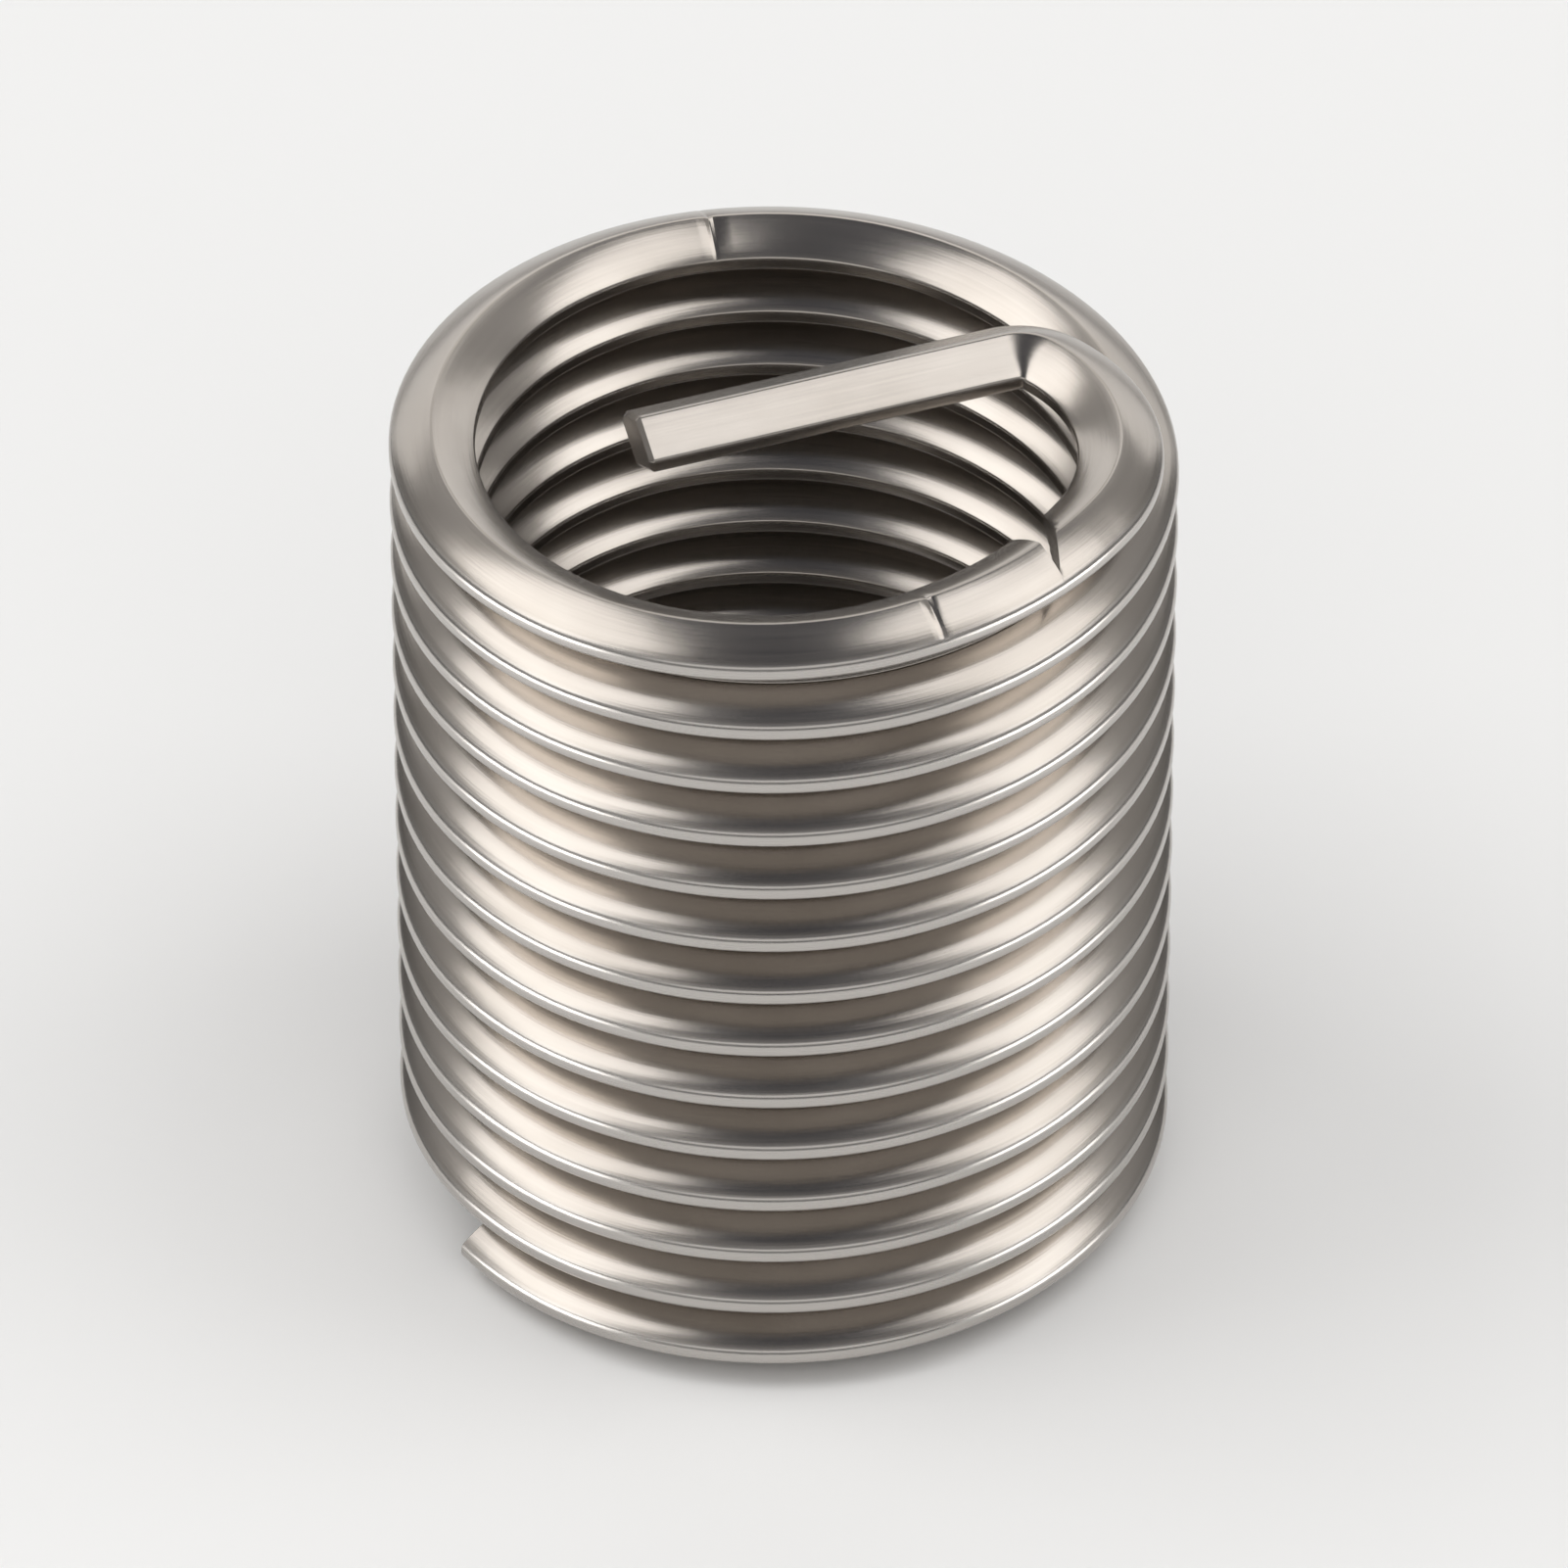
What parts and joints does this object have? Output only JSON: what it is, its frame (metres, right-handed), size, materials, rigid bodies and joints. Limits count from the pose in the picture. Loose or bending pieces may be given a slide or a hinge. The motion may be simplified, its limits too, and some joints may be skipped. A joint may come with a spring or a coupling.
{
  "type": "helical thread insert",
  "caption": "Coil of diamond-section steel wire that lines a tapped hole with a fresh thread, with a driving tang across one end and a notch where it breaks off.",
  "frame": {"origin": "on the coil's lowest point, under the middle of the box around the insert", "axes": "+Z along the coil's axis, from the plain cut end up to the tang; +X to the right and -Y to the front as pictured"},
  "size_m": [0.0144, 0.0144, 0.018],
  "materials": {
    "wire": "drawn, bright"
  },
  "bodies": {
    "root": {"thread_insert": "wire"}
  },
  "joints": []
}
